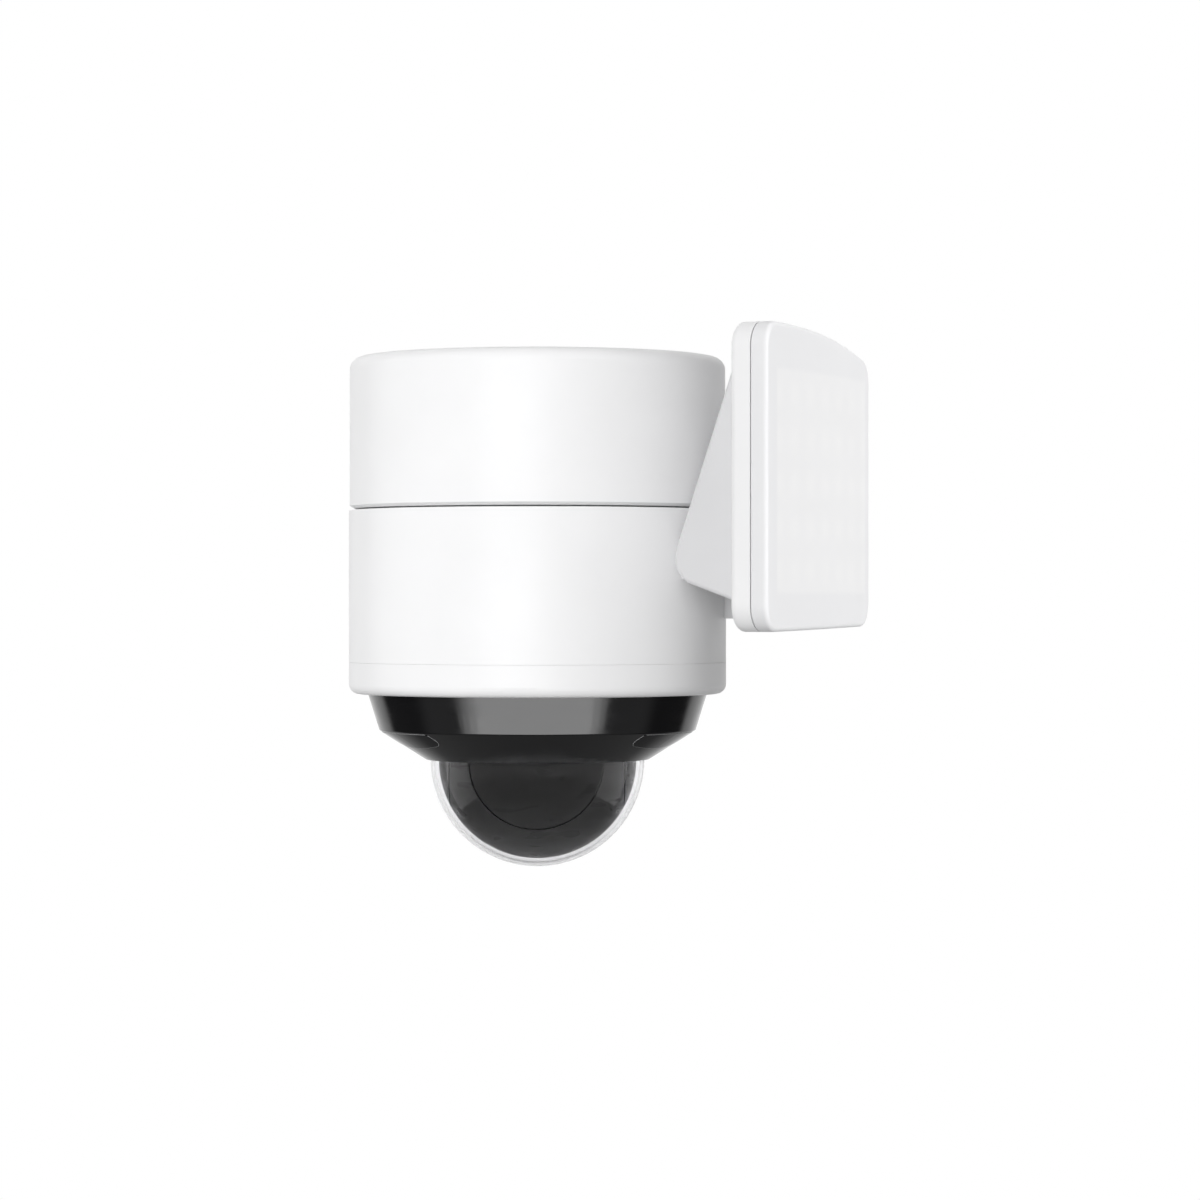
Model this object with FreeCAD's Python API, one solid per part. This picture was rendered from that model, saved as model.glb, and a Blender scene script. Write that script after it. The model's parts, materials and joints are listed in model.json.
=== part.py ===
import FreeCAD, Part
import math
import os

# Wall-mounted floodlight security camera, in millimetres.
# +Z is up and -Y is the front. The wall is the plane Y = 0, and X = Z = 0 is the centre of the
# junction-box screws. Both drum housings stand on one vertical axis in front of the wall.

V = FreeCAD.Vector
ORIGIN = V(0, 0, 0)
AXIS_X = V(1, 0, 0)
AXIS_Y = V(0, 1, 0)
AXIS_Z = V(0, 0, 1)

# Fits
RUN = 0.05            # radial running clearance
SLIP = 0.1            # clearance between housed pieces

# Screws: length under the head, shank radius, head radius, head height
CANOPY_SCREW = (19.6, 2.0, 4.0, 2.4)
NECK_SCREW = (19.0, 2.0, 3.6, 2.6)
CHASSIS_SCREW = (12.0, 1.5, 2.8, 2.0)
BRACKET_SCREW = (7.5, 2.0, 3.5, 2.4)
PANEL_SCREW = (7.0, 1.5, 2.9, 1.8)
M4_CLEAR = 2.15       # hole radii
M4_TAPPED = 2.05
M3_CLEAR = 1.7
M3_TAPPED = 1.55

# Wall canopy and neck
CANOPY_R = 57.0
CANOPY_DEPTH = 20.0
CANOPY_WALL = 3.0
CANOPY_BOSS_R = 6.0
GASKET_IN = 50.5
GASKET_OUT = 54.0
GASKET_DEPTH = 2.0
BAR_LENGTH = 98.0
BAR_HEIGHT = 18.0
BAR_THICK = 1.6
BOX_SCREW_SPACING = 88.9
BOX_HOLE_R = 2.3
CANOPY_SCREW_X = 33.0
NECK_WIDTH = 52.0
NECK_HEIGHT = 40.0
NECK_WALL = 5.0
NECK_CORNER = 12.0
NECK_Z = 27.5
NECK_SCREW_X = 20.0
NECK_SCREW_Z = 13.5
NECK_LENGTH = 26.0
NECK_BOSS_R = 4.5
CLAMP_FACE = 57.0     # flat inner face of the clamp plate, from the drum's axis
PASSAGE_MARGIN_X = 10.0
PASSAGE_MARGIN_Z = 11.0
PASSAGE_CORNER = 4.0
LEAD_R = 1.5
LEAD_SPACING = 6.0

# Drum housings
DRUM_Y = -105.0
DRUM_R = 67.5
DRUM_WALL = 3.0
UPPER_R = 67.2        # the upper housing is a little slimmer than the lower one
UPPER_TOP = 54.35
SEAM_TOP = 1.3        # outer lower edge of the upper housing
SEAM_LOW = 0.25       # inner lower edge, where its bevel ends
SEAM_IN_R = 65.3
LOWER_TOP = -0.3
TRIM_TOP = -54.5
TRIM_BOTTOM = -65.75
TOP_ROUND = 4.5
BOTTOM_ROUND = 3.5
EDGE = 0.5
INNER_R = DRUM_R - DRUM_WALL
PLATE_LOW = 2.0
PLATE_HIGH = 5.0
BOARD_POST_R = 3.0
BOARD_POST_X = 34.0
BOARD_POST_Y = 24.0
PSU_LOW = 28.0
PSU_HIGH = 29.6
SEAL_R = 63.6
CLIP_HEIGHT = 2.0
CLIP_DEPTH = 1.5
CLIP_GAP = 9.0
SPIGOT_R = 22.0
SPIGOT_BORE = 17.0
SPIGOT_TOP = 9.0
CHASSIS_LOW = -42.5
CHASSIS_HIGH = -40.0
POST_R = 4.0
CHASSIS_POST_AT = 56.5
CHASSIS_POST_AZIMUTHS = (15.0, 110.0, 225.0, 315.0)
MAIN_BOARD_LOW = -13.6
MAIN_BOARD_HIGH = -12.0
BOARD_LUG_AT = 44.0
BOARD_LUG_AZIMUTHS = (45.0, 135.0, 225.0, 315.0)
SPEAKER_Z = -22.5
SPEAKER_R = 17.0
SPEAKER_FACE = 58.0
SLOT_REACH = 14.0     # half height of the middle sound slot
SLOT_PITCH = 3.6
TRIM_IN_R = 63.0
TRIM_GAP = 0.04

# Glossy sensor bezel
BEZEL_TOP_R = 60.7
BEZEL_BREAK_R = 56.6
BEZEL_BREAK_Z = -78.75
BEZEL_LOW_R = 40.0
BEZEL_LOW_Z = -89.25
BEZEL_BORE = 38.9
BEZEL_LEDGE_Z = -85.2
BEZEL_FLANGE_R = 62.8
BEZEL_FLANGE_TOP = -59.6
BEZEL_FLANGE_LOW = -62.1
WINDOW_AZIMUTH = 62.0
WINDOW_LENGTH = 37.0
WINDOW_WIDTH = 10.2
WINDOW_CORNER = 3.6
WINDOW_DOWN = 5.6     # distance of a window's centre line below the bezel's break edge
WINDOW_THICK = 1.2
WINDOW_PROUD = 0.15
WINDOW_GAP = 0.15
SENSOR_R = 4.6
SENSOR_RISE = 1.2     # height of the sensors above the middle of their windows
WINDOW_RIM = 0.8       # least distance of an opening from the break edge

# Dome and camera ball
BALL_Z = -89.35
COVER_R = 38.3
COVER_IN = 36.7
BALL_R = 35.4
BALL_WALL = 2.2
BALL_FLAT = 30.5
CHEEK_FLAT = 30.9
FACE_R = 23.1
FACE_GAP = 0.45
AXLE_R = 3.0
AXLE_IN = 24.3
AXLE_OUT = 33.0
CAMERA_BARREL_R = 11.0
LENS_R = 7.5
LENS_DOME_R = 12.0
LAMP_RING_AT = 15.5
LAMP_COUNT = 8

# Pan carriage
HUB_R = 12.0
HUB_BORE = 7.0
HUB_LOW = -46.5
HUB_HIGH = -36.0
TABLE_R = 33.0
TABLE_HIGH = -48.5
TABLE_LOW = -51.5
YOKE_HALF = 13.0
BUSH_R = 14.5
PAN_MOTOR_R = 12.0
PAN_SHAFT_R = 1.5
TILT_MOTOR_R = 8.0
TILT_SHAFT_R = 1.0

# Gears
PAN_MODULE = 0.8
PAN_TEETH = 72
PAN_PINION_TEETH = 12
TILT_MODULE = 0.5
TILT_TEETH = 36
TILT_PINION_TEETH = 12
PRESSURE_ANGLE = 20.0
BACKLASH = 0.12       # taken off each tooth's thickness, in modules
PAN_CENTRES = PAN_MODULE * (PAN_TEETH + PAN_PINION_TEETH) / 2
TILT_CENTRES = TILT_MODULE * (TILT_TEETH + TILT_PINION_TEETH) / 2

# Light: local X is the panel's outward normal from the drum's axis, local Y runs to its rear end
LIGHT_TURN = -22.5    # the light's direction, turned from +X towards the front
PIVOT_X = 77.2
PIVOT_Z = -18.0
EAR_R = 7.0
NOSE_R = 9.6          # round back of the arm
ARM_LEAN = 71.5       # slope of the arm's top edge
ARM_FALL = -20.0      # slope of its bottom edge
ARM_TOP = 49.0
ARM_WALL = 2.8
ARM_HALF = 39.0
ARM_ROUND = 1.5
POCKET_R = 14.0
POCKET_WALL = 2.6
POCKET_HALF = 23.2
EAR_IN = 14.0
EAR_OUT = 22.0
EAR_DROP = 20.9
EAR_FOOT_X = 72.2
PAD_FACE = 69.3
BRACKET_SCREW_Y = 9.0
LIGHT_LEAD_R = 2.4
PIN_R = 3.0
PLUG_R = 5.0
PANEL_HALF = 54.0
PANEL_CORNER = 9.0
PANEL_CROWN_R = 774.0  # plan radius of the panel's front face
PANEL_FRONT_X = 108.9
PANEL_BACK = 13.5     # depth of the panel's back behind its front face
PANEL_JOINT = 5.9     # depth of the parting line behind its front face
PANEL_WALL = 3.0      # side walls of the tray and of the front cover
COVER_WALL = 2.2      # thickness of the front cover
MASK_THICK = 1.0      # mask plate behind the front cover
MASK_LOBE = 1.8       # width of the mask left around each post
LAMP_NEAR = -45.5     # the mask's opening, along the panel and in height
LAMP_REAR = 47.5
LAMP_FLOOR = -30.3
LAMP_CREST = 45.8
LAMP_CREST_SLOPE = -0.053
LED_PITCH = 15.0
LED_MIDDLE_Z = 7.5
PANEL_SCREW_X = 97.0
PANEL_SCREW_Y = 48.5
PANEL_SCREW_ZS = (-34.0, 44.0)
PANEL_POST_R = 4.6
COVER_POST_R = 3.4
PANEL_TOP = 61.2      # height where the two top slopes meet, before they are rounded together
TOP_NEAR_SLOPE = 0.010
TOP_REAR_SLOPE = -0.153
PANEL_BOTTOM = -42.45
BOTTOM_SLOPE = 0.013

# Sync button
BUTTON_AZIMUTH = 150.0
BUTTON_Z = -30.0
BUTTON_R = 4.0


# ---- Basic shapes ----
def rod(radius, start, end):
    """Round bar between two points."""
    along = end - start
    return Part.makeCylinder(radius, along.Length, start, along)


def disc(radius, low, high):
    """Cylinder on the local Z axis."""
    return Part.makeCylinder(radius, high - low, V(0, 0, low))


def tube(inner, outer, low, high):
    """Ring on the local Z axis."""
    return disc(outer, low, high).cut(disc(inner, low - 1, high + 1))


def block(x0, x1, y0, y1, z0, z1):
    """Box between two corners."""
    return Part.makeBox(x1 - x0, y1 - y0, z1 - z0, V(x0, y0, z0))


def rounded_wire(corners, place):
    """Closed wire through (a, b, rounding radius) corners; place turns (a, b) into a point."""
    ends = []
    count = len(corners)
    for i, (a, b, radius) in enumerate(corners):
        here = V(a, b, 0)
        back = V(corners[i - 1][0], corners[i - 1][1], 0) - here
        ahead = V(corners[(i + 1) % count][0], corners[(i + 1) % count][1], 0) - here
        back.normalize()
        ahead.normalize()
        half = back.getAngle(ahead) / 2
        if radius > 0:
            reach = radius / math.tan(half)
            middle = back + ahead
            middle.normalize()
            bulge = here + middle * (radius / math.sin(half) - radius)
            ends.append((here + back * reach, bulge, here + ahead * reach))
        else:
            ends.append((here, None, here))
    edges = []
    for i, (start, bulge, end) in enumerate(ends):
        before = ends[i - 1][2]
        if (start - before).Length > 1e-6:
            edges.append(Part.makeLine(place(before.x, before.y), place(start.x, start.y)))
        if bulge is not None:
            points = [place(p.x, p.y) for p in (start, bulge, end)]
            edges.append(Part.Arc(*points).toShape())
    return Part.Wire(Part.__sortEdges__(edges))


def prism(corners, place, along):
    """Solid swept in a straight line from a rounded outline."""
    return Part.Face(rounded_wire(corners, place)).extrude(along)


def lathe(corners):
    """Solid turned about the local Z axis from (radius, height, rounding) corners."""
    face = Part.Face(rounded_wire(corners, lambda r, z: V(r, 0, z)))
    return face.revolve(ORIGIN, AXIS_Z, 360)


def rounded_rectangle(half_a, half_b, radius):
    """Corners of a centred rounded rectangle."""
    signs = ((1, 1), (-1, 1), (-1, -1), (1, -1))
    return [(sa * half_a, sb * half_b, radius) for sa, sb in signs]


def on_drum(shape):
    """Moves a shape from the drum's own axis to its place in front of the wall."""
    shape.translate(V(0, DRUM_Y, 0))
    return shape


def around(shape, azimuth):
    """Turns a shape that was built towards the front (-Y) to an azimuth towards +X."""
    return shape.copy().rotate(ORIGIN, AXIS_Z, azimuth)


def on_light(shape):
    """Moves a shape from the light's local axes to its place beside the drum."""
    shape.rotate(ORIGIN, AXIS_Z, LIGHT_TURN)
    return on_drum(shape)


def in_ball(shape):
    """Moves a shape from the ball's centre to its place under the drum."""
    shape.translate(V(0, DRUM_Y, BALL_Z))
    return shape


def group(shapes):
    """Separate solids that share one node."""
    return Part.makeCompound(shapes)


# ---- Gears ----
def involute(base_r, radius):
    """Polar angle of an involute at a radius, in radians."""
    roll = math.sqrt(max((radius / base_r) ** 2 - 1, 0))
    return roll - math.atan(roll)


def gear_blank(teeth, module, width):
    """Spur gear on the local Z axis with a gap centred on +X, from Z = 0 up."""
    pitch_r = teeth * module / 2
    base_r = pitch_r * math.cos(math.radians(PRESSURE_ANGLE))
    root_r = pitch_r - 1.25 * module
    tip_r = pitch_r + module
    half_tooth = (math.pi / 2 - BACKLASH) / teeth + involute(base_r, pitch_r)
    flank = [max(base_r, root_r) + (tip_r - max(base_r, root_r)) * i / 4 for i in range(5)]
    angles = [half_tooth - involute(base_r, r) for r in flank]
    pitch = 2 * math.pi / teeth
    points = []
    for i in range(teeth):
        centre = (i + 0.5) * pitch
        side = [(root_r, -half_tooth)] + [(r, -a) for r, a in zip(flank, angles)]
        side += [(r, a) for r, a in reversed(list(zip(flank, angles)))] + [(root_r, half_tooth)]
        points += [V(r * math.cos(centre + a), r * math.sin(centre + a), 0) for r, a in side]
    face = Part.Face(Part.makePolygon(points + points[:1]))
    return face.extrude(V(0, 0, width))


# ---- Wall mount ----
def canopy():
    rim = CANOPY_R - CANOPY_WALL
    body = lathe([
        (0, CANOPY_DEPTH, 0), (CANOPY_R - 6, CANOPY_DEPTH, 8), (CANOPY_R, 4, 10), (CANOPY_R, 0, 0),
        (GASKET_OUT, 0, 0), (GASKET_OUT, GASKET_DEPTH, 0), (GASKET_IN, GASKET_DEPTH, 0),
        (GASKET_IN, 4, 1), (rim - 8, CANOPY_DEPTH - CANOPY_WALL, 5), (0, CANOPY_DEPTH - CANOPY_WALL, 0)])
    body.rotate(ORIGIN, AXIS_X, 90)
    for x in (-CANOPY_SCREW_X, CANOPY_SCREW_X):
        body = body.fuse(rod(CANOPY_BOSS_R, V(x, -BAR_THICK - SLIP, 0), V(x, -CANOPY_DEPTH + 1, 0)))
        body = body.cut(rod(M4_CLEAR, V(x, 1, 0), V(x, -CANOPY_DEPTH - 1, 0)))
    inner = rounded_rectangle(NECK_WIDTH / 2 - NECK_WALL, NECK_HEIGHT / 2 - NECK_WALL, NECK_CORNER - 6)
    passage = prism(inner, lambda x, z: V(x, -CANOPY_DEPTH - 1, z + NECK_Z), V(0, CANOPY_WALL + 3, 0))
    return body.cut(passage)


def wall_gasket():
    ring = tube(GASKET_IN + SLIP, GASKET_OUT - SLIP, 0, GASKET_DEPTH)
    ring.rotate(ORIGIN, AXIS_X, 90)
    return ring


def junction_bar():
    outline = rounded_rectangle(BAR_LENGTH / 2, BAR_HEIGHT / 2, 3)
    bar = prism(outline, lambda x, z: V(x, -BAR_THICK, z), V(0, BAR_THICK, 0))
    for sign in (-1, 1):
        for x, radius in ((sign * BOX_SCREW_SPACING / 2, BOX_HOLE_R), (sign * CANOPY_SCREW_X, M4_TAPPED)):
            bar = bar.cut(rod(radius, V(x, 1, 0), V(x, -BAR_THICK - 1, 0)))
    return bar


def screw(length, shank_r, head_r, head_h):
    """Button-head screw on the local Z axis: the head's seat is at Z = 0 and the shank points to +Z."""
    head = lathe([(0, 0, 0), (head_r, 0, 0), (head_r, -head_h, head_h * 0.7), (0, -head_h, 0)])
    cross = block(-head_r * 0.5, head_r * 0.5, -0.4, 0.4, -head_h - 1, -head_h * 0.45)
    head = head.cut(cross).cut(cross.copy().rotate(ORIGIN, AXIS_Z, 90))
    return head.fuse(disc(shank_r, 0, length))


def aimed(shape, point, direction):
    """Places a shape built along +Z at a point, aimed along a direction square to Z."""
    shape.rotate(ORIGIN, AXIS_Z.cross(direction), math.degrees(AXIS_Z.getAngle(direction)))
    shape.translate(point)
    return shape


def canopy_screws():
    return group([aimed(screw(*CANOPY_SCREW), V(x, -CANOPY_DEPTH, 0), AXIS_Y)
                  for x in (-CANOPY_SCREW_X, CANOPY_SCREW_X)])


def mount_neck():
    """Hollow rectangular arm whose front end is saddled to the drum."""
    outer = rounded_rectangle(NECK_WIDTH / 2, NECK_HEIGHT / 2, NECK_CORNER)
    inner = rounded_rectangle(NECK_WIDTH / 2 - NECK_WALL, NECK_HEIGHT / 2 - NECK_WALL, NECK_CORNER - 6)
    neck = prism(outer, lambda x, z: V(x, -CANOPY_DEPTH, z + NECK_Z), V(0, -NECK_LENGTH, 0))
    bore = V(0, -NECK_LENGTH - 2, 0)
    neck = neck.cut(prism(inner, lambda x, z: V(x, -CANOPY_DEPTH + 1, z + NECK_Z), bore))
    end = -CANOPY_DEPTH - NECK_LENGTH
    for x, z in neck_screw_places():
        neck = neck.fuse(rod(NECK_BOSS_R, V(x, -CANOPY_DEPTH, z), V(x, end, z)))
        neck = neck.cut(rod(M4_TAPPED, V(x, -CANOPY_DEPTH - 8, z), V(x, end - 1, z)))
    return neck.cut(on_drum(disc(UPPER_R + 0.02, SEAM_LOW, UPPER_TOP)))


def neck_screw_places():
    return [(sx * NECK_SCREW_X, NECK_Z + sz * NECK_SCREW_Z) for sx in (-1, 1) for sz in (-1, 1)]


def wire_passage(start, length):
    """Opening for the supply leads between the neck and the drum, in the drum's own place."""
    half_width = NECK_WIDTH / 2 - PASSAGE_MARGIN_X
    half_height = NECK_HEIGHT / 2 - PASSAGE_MARGIN_Z
    inner = rounded_rectangle(half_width, half_height, PASSAGE_CORNER)
    return prism(inner, lambda x, z: V(x, start, z + NECK_Z), V(0, length, 0))


def neck_clamp_plate():
    """Spacer with a flat inner face, between the drum's curved wall and the neck screws."""
    outline = rounded_rectangle(NECK_WIDTH / 2, NECK_HEIGHT / 2, 6)
    plate = prism(outline, lambda x, z: V(x, CLAMP_FACE, z + NECK_Z), V(0, 10, 0))
    plate = plate.common(disc(INNER_R - 0.02, 0, UPPER_TOP)).cut(wire_passage(50, 30))
    for x, z in neck_screw_places():
        plate = plate.cut(rod(M4_CLEAR, V(x, 50, z), V(x, 70, z)))
    return on_drum(plate)


def neck_screws():
    return group([on_drum(aimed(screw(*NECK_SCREW), V(x, CLAMP_FACE, z), AXIS_Y))
                  for x, z in neck_screw_places()])


def supply_leads():
    """Three insulated leads from the junction box, through the neck, into the upper housing."""
    leads = []
    for x in (-LEAD_SPACING, 0.0, LEAD_SPACING):
        path = Part.BSplineCurve()
        path.interpolate([V(x * 2, -5, -22), V(x * 1.6, -11, 2), V(x, -18, 20),
                          V(x, -32, NECK_Z), V(x, DRUM_Y + 50, NECK_Z)])
        edge = path.toShape()
        start = path.FirstParameter
        section = Part.makeCircle(LEAD_R, path.value(start), edge.tangentAt(start))
        leads.append(Part.Wire(edge).makePipeShell([Part.Wire(section)], True, True))
    return group(leads)


# ---- Upper housing ----
def upper_shell():
    """Round cap, bevelled inwards at its lower rim, with holes for the neck's screws and leads."""
    shell = lathe([
        (0, UPPER_TOP, 0), (UPPER_R, UPPER_TOP, TOP_ROUND), (UPPER_R, SEAM_TOP, EDGE / 2),
        (SEAM_IN_R, SEAM_LOW, 0), (INNER_R, SEAM_LOW, 0), (INNER_R, UPPER_TOP - DRUM_WALL, 2),
        (0, UPPER_TOP - DRUM_WALL, 0)])
    shell = shell.cut(wire_passage(50, 30))
    for x, z in neck_screw_places():
        shell = shell.cut(rod(M4_CLEAR, V(x, 50, z), V(x, 70, z)))
    return on_drum(shell)


def upper_plate():
    """Floor of the upper housing: a bearing plate for the swivel spigot, with board posts."""
    plate = tube(SPIGOT_R + RUN, INNER_R - RUN, PLATE_LOW, PLATE_HIGH)
    for x in (-BOARD_POST_X, BOARD_POST_X):
        for y in (-BOARD_POST_Y, BOARD_POST_Y):
            plate = plate.fuse(rod(BOARD_POST_R, V(x, y, PLATE_HIGH), V(x, y, PSU_LOW)))
    return on_drum(plate)


def psu_board():
    return on_drum(block(-40, 40, -30, 30, PSU_LOW, PSU_HIGH))


def power_components():
    """Transformer, terminal block and two capacitors on the supply board."""
    transformer = block(-26, -2, -12, 10, PSU_HIGH, 46)
    capacitors = [Part.makeCylinder(6.0, 15, V(x, -12, PSU_HIGH)) for x in (12.0, 27.0)]
    terminals = block(4, 30, 14, 24, PSU_HIGH, 40)
    return group([on_drum(s) for s in [transformer, terminals] + capacitors])


def swivel_seal():
    """Lip seal that closes the running gap between the two housings."""
    seal = lathe([(58.0, PLATE_LOW, 0), (SEAL_R, PLATE_LOW, 0), (SEAL_R, 0.9, 0.3),
                  (61.5, LOWER_TOP + 0.15, 0.3), (58.0, LOWER_TOP + 0.15, 0)])
    return on_drum(seal)


# ---- Lower housing ----
def lower_shell():
    low = TRIM_TOP + TRIM_GAP
    shell = lathe([
        (SPIGOT_BORE, SPIGOT_TOP, 0), (SPIGOT_R, SPIGOT_TOP, 0.5), (SPIGOT_R, LOWER_TOP, 0),
        (DRUM_R, LOWER_TOP, EDGE), (DRUM_R, low, 0), (INNER_R, low, 0),
        (INNER_R, LOWER_TOP - 3.5, 2), (SPIGOT_BORE, LOWER_TOP - 3.5, 0)])
    groove_low = PLATE_HIGH + SLIP
    clip_groove = tube(SPIGOT_R - CLIP_DEPTH, SPIGOT_R + 5, groove_low, groove_low + CLIP_HEIGHT)
    shell = shell.cut(clip_groove)
    for azimuth in CHASSIS_POST_AZIMUTHS:
        post = disc(POST_R, CHASSIS_HIGH, LOWER_TOP - 2)
        post = post.cut(disc(M3_TAPPED, CHASSIS_HIGH - 1, CHASSIS_HIGH + 12))
        post.translate(V(0, -CHASSIS_POST_AT, 0))
        shell = shell.fuse(around(post, azimuth))
    for azimuth in BOARD_LUG_AZIMUTHS:
        post = Part.makeCylinder(BOARD_POST_R, 9.5, V(0, -BOARD_LUG_AT, MAIN_BOARD_HIGH))
        shell = shell.fuse(around(post, azimuth))
    for slot in speaker_slots():
        shell = shell.cut(slot)
    button_hole = rod(BUTTON_R + 0.2, V(0, -50, BUTTON_Z), V(0, -80, BUTTON_Z))
    shell = on_drum(shell.cut(around(button_hole, BUTTON_AZIMUTH)))
    for hole in bracket_holes(M4_CLEAR):
        shell = shell.cut(hole)
    return shell


def speaker_slots():
    """Vertical sound slots at the back of the lower housing, longest in the middle."""
    slots = []
    for i in range(-4, 5):
        half = math.sqrt(SLOT_REACH ** 2 - (i * 2.8) ** 2)
        outline = rounded_rectangle(0.8, half, 0.79)
        slot = prism(outline, lambda x, z: V(x, 55, z + SPEAKER_Z), V(0, 20, 0))
        slot.rotate(ORIGIN, AXIS_Z, math.degrees(i * SLOT_PITCH / DRUM_R))
        slots.append(slot)
    return slots


def swivel_clip():
    """Open retaining ring in the spigot's groove, above the bearing plate."""
    low = PLATE_HIGH + SLIP
    ring = tube(SPIGOT_R - CLIP_DEPTH + RUN, SPIGOT_R + 4, low + RUN, low + CLIP_HEIGHT - RUN)
    return on_drum(ring.cut(block(-CLIP_GAP, CLIP_GAP, -40, 0, low - 1, low + 4)))


def trim_ring():
    ring = lathe([
        (TRIM_IN_R, TRIM_TOP, 0), (DRUM_R, TRIM_TOP, 0.08), (DRUM_R, TRIM_BOTTOM, BOTTOM_ROUND),
        (BEZEL_TOP_R + 0.2, TRIM_BOTTOM, 0), (BEZEL_TOP_R + 0.2, BEZEL_FLANGE_LOW, 0),
        (TRIM_IN_R, BEZEL_FLANGE_LOW, 0)])
    register = tube(TRIM_IN_R, INNER_R - 0.2, TRIM_TOP - 0.5, TRIM_TOP + 3)
    return on_drum(ring.fuse(register))


def main_board():
    """Ring-shaped board, cut away for the speaker, with two large chips below it."""
    board = tube(19, 52, MAIN_BOARD_LOW, MAIN_BOARD_HIGH).cut(block(-20, 20, 42, 60, -14, -11))
    chips = [block(-30, -16, -34, -20, -15.4, MAIN_BOARD_LOW), block(20, 30, -12, 2, -14.8, MAIN_BOARD_LOW)]
    for chip in chips:
        board = board.fuse(chip)
    return on_drum(board)


def speaker():
    """Round driver facing the sound slots."""
    def at(distance):
        return V(0, distance, SPEAKER_Z)
    frame = rod(SPEAKER_R, at(SPEAKER_FACE - 9), at(SPEAKER_FACE))
    frame = frame.cut(rod(SPEAKER_R - 1.5, at(SPEAKER_FACE - 6), at(SPEAKER_FACE + 1)))
    cone = Part.makeCone(SPEAKER_R - 1.6, 6, 5.6, at(SPEAKER_FACE - 0.5), V(0, -1, 0))
    magnet = rod(10, at(46.4), at(SPEAKER_FACE - 9))
    return on_drum(frame.fuse(magnet).fuse(cone))


def chassis_plate():
    plate = disc(62.0, CHASSIS_LOW, CHASSIS_HIGH)
    plate = plate.cut(disc(BUSH_R, CHASSIS_LOW - 1, CHASSIS_HIGH + 1))
    plate = plate.cut(Part.makeCylinder(6.0, 8, V(0, PAN_CENTRES, CHASSIS_LOW - 2)))
    for azimuth in CHASSIS_POST_AZIMUTHS:
        hole = Part.makeCylinder(M3_CLEAR, 8, V(0, -CHASSIS_POST_AT, CHASSIS_LOW - 2))
        plate = plate.cut(around(hole, azimuth))
    return on_drum(plate)


def chassis_screws():
    screws = []
    for azimuth in CHASSIS_POST_AZIMUTHS:
        one = screw(*CHASSIS_SCREW)
        one.translate(V(0, -CHASSIS_POST_AT, CHASSIS_LOW))
        screws.append(on_drum(around(one, azimuth)))
    return group(screws)


def pan_bush():
    bush = tube(HUB_R + RUN, BUSH_R, CHASSIS_LOW, CHASSIS_HIGH + 1)
    flange = tube(HUB_R + RUN, BUSH_R + 2.5, CHASSIS_HIGH, CHASSIS_HIGH + 1)
    return on_drum(bush.fuse(flange))


def pan_motor():
    can = Part.makeCylinder(PAN_MOTOR_R, 18, V(0, PAN_CENTRES, CHASSIS_HIGH))
    ears = block(-18, 18, PAN_CENTRES - 3.5, PAN_CENTRES + 3.5, CHASSIS_HIGH, CHASSIS_HIGH + 1.2)
    bore = Part.makeCylinder(PAN_SHAFT_R + RUN, 8, V(0, PAN_CENTRES, CHASSIS_HIGH - 1))
    return on_drum(can.fuse(ears).cut(bore))


# ---- Bezel, windows and dome ----
def bezel_outline():
    return [
        (BEZEL_FLANGE_R, BEZEL_FLANGE_TOP, 0), (BEZEL_FLANGE_R, BEZEL_FLANGE_LOW, 0),
        (BEZEL_TOP_R, BEZEL_FLANGE_LOW, 0), (BEZEL_TOP_R, TRIM_BOTTOM, 0),
        (BEZEL_BREAK_R, BEZEL_BREAK_Z, 0.8), (BEZEL_LOW_R, BEZEL_LOW_Z, 0.6),
        (BEZEL_BORE, BEZEL_LOW_Z, 0), (BEZEL_BORE, BEZEL_LEDGE_Z, 0), (44.3, BEZEL_LEDGE_Z, 0),
        (54.3, -77.5, 0), (58.2, TRIM_BOTTOM, 0), (58.2, BEZEL_FLANGE_TOP, 0)]


def cone_frame():
    """A window's centre, the chamfer's downhill direction and its outward normal, in the XZ plane."""
    down = V(BEZEL_LOW_R - BEZEL_BREAK_R, 0, BEZEL_LOW_Z - BEZEL_BREAK_Z)
    down.normalize()
    centre = V(BEZEL_BREAK_R, 0, BEZEL_BREAK_Z) + down * WINDOW_DOWN
    return centre, down, V(-down.z, 0, down.x)


def window_prism(clearance):
    """Rounded plug through the bezel's chamfer, built towards +X."""
    centre, down, normal = cone_frame()
    half_length = WINDOW_LENGTH / 2 - clearance
    outline = rounded_rectangle(half_length, WINDOW_WIDTH / 2 - clearance, WINDOW_CORNER - clearance)
    sunk = centre - normal * 8
    return prism(outline, lambda a, b: sunk + V(0, a, 0) + down * b, normal * 14)


def chamfer_skin(proud, depth, clearance):
    """Ring of the chamfer's layer between a height above its face and a depth below it."""
    down, normal = cone_frame()[1:]
    top = V(BEZEL_BREAK_R, 0, BEZEL_BREAK_Z) + down * clearance
    low = V(BEZEL_LOW_R, 0, BEZEL_LOW_Z)
    front = [p + normal * proud for p in (top, low)]
    back = [p - normal * depth for p in (low, top)]
    return lathe([(p.x, p.z, 0) for p in front + back])


def at_windows(shape):
    """Both mirrored places of a shape that was built towards +X."""
    return [shape.copy().rotate(ORIGIN, AXIS_Z, sign * WINDOW_AZIMUTH - 90) for sign in (-1, 1)]


def bezel():
    ring = lathe(bezel_outline())
    opening = window_prism(0).common(chamfer_skin(1, 3, WINDOW_RIM))
    for plug in at_windows(opening):
        ring = ring.cut(plug)
    return on_drum(ring)


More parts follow.
